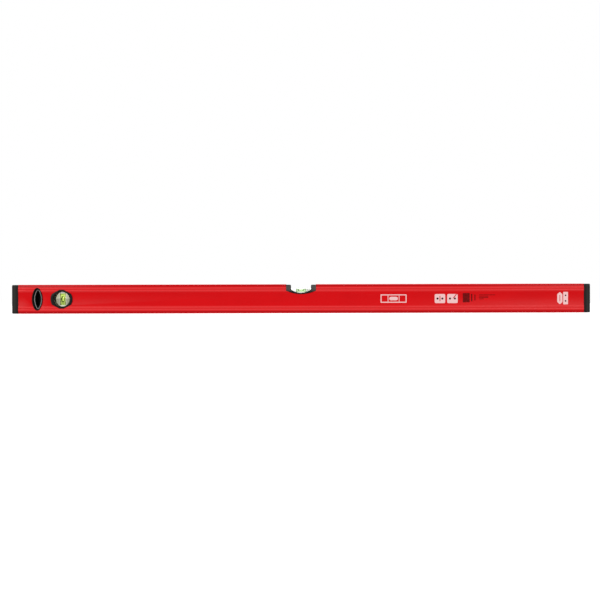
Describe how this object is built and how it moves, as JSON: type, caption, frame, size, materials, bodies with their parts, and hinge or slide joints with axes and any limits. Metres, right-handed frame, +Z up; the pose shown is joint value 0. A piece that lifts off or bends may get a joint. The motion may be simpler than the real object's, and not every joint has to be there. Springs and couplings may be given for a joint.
{
  "type": "spirit level",
  "caption": "Box-section spirit level with a top-read level vial in a window, a round plumb vial, a lined hang slot and soft end caps; both bubbles slide.",
  "frame": {"origin": "middle of the working base face, halfway along the level and halfway through its depth", "axes": "+X along the level away from the plumb vial, +Y towards the rear face, +Z up from the base to the top face; the front face looks towards -Y"},
  "size_m": [1, 0.022, 0.05],
  "materials": {
    "powder_red": "smooth gloss powder coat in signal red over extruded aluminium",
    "hard_black": "fine moulded texture",
    "bumper_rubber": "soft matte charcoal with a fine grain",
    "housing_black": "satin moulded",
    "reflector_white": "glossy white moulding",
    "plug_white": "translucent cream moulding",
    "clear_acrylic": "polished clear acrylic",
    "green_spirit": "yellow-green dyed spirit",
    "air_bubble": "clear air bubble",
    "marker_ink": "opaque dark rings",
    "print_white": "white screen print",
    "print_dark": "dark screen print",
    "rim_grey": "satin grey lip of the slot liner",
    "adhesive": "cured amber adhesive"
  },
  "bodies": {
    "level_frame": {"box_profile": "powder_red", "left_cap_plug": "hard_black", "left_cap_bumper": "bumper_rubber", "right_cap_plug": "hard_black", "right_cap_bumper": "bumper_rubber", "hang_slot_front_liner": "housing_black", "hang_slot_rear_liner": "housing_black", "level_housing": "housing_black", "level_reflector": "reflector_white", "level_vial_block": "clear_acrylic", "level_vial_plug": "plug_white", "level_spirit": "green_spirit", "level_marker_rings": "marker_ink", "level_adhesive_beads": "adhesive", "plumb_front_bezel": "housing_black", "plumb_rear_bezel": "housing_black", "plumb_vial_puck": "clear_acrylic", "plumb_vial_plug": "plug_white", "plumb_spirit": "green_spirit", "plumb_marker_rings": "marker_ink", "plumb_adhesive_rings": "adhesive"},
    "level_bubble_body": {"level_bubble": "air_bubble"},
    "plumb_bubble_body": {"plumb_bubble": "air_bubble"}
  },
  "joints": [
    {"name": "level_bubble_slide", "type": "slide", "parent": "level_frame", "child": "level_bubble_body", "axis": [1, 0, 0], "range_m": [-0.0042, 0.0042], "stiffness_N_per_m": 10},
    {"name": "plumb_bubble_slide", "type": "slide", "parent": "level_frame", "child": "plumb_bubble_body", "axis": [0, 0, 1], "range_m": [-0.005, 0.005], "stiffness_N_per_m": 60}
  ]
}
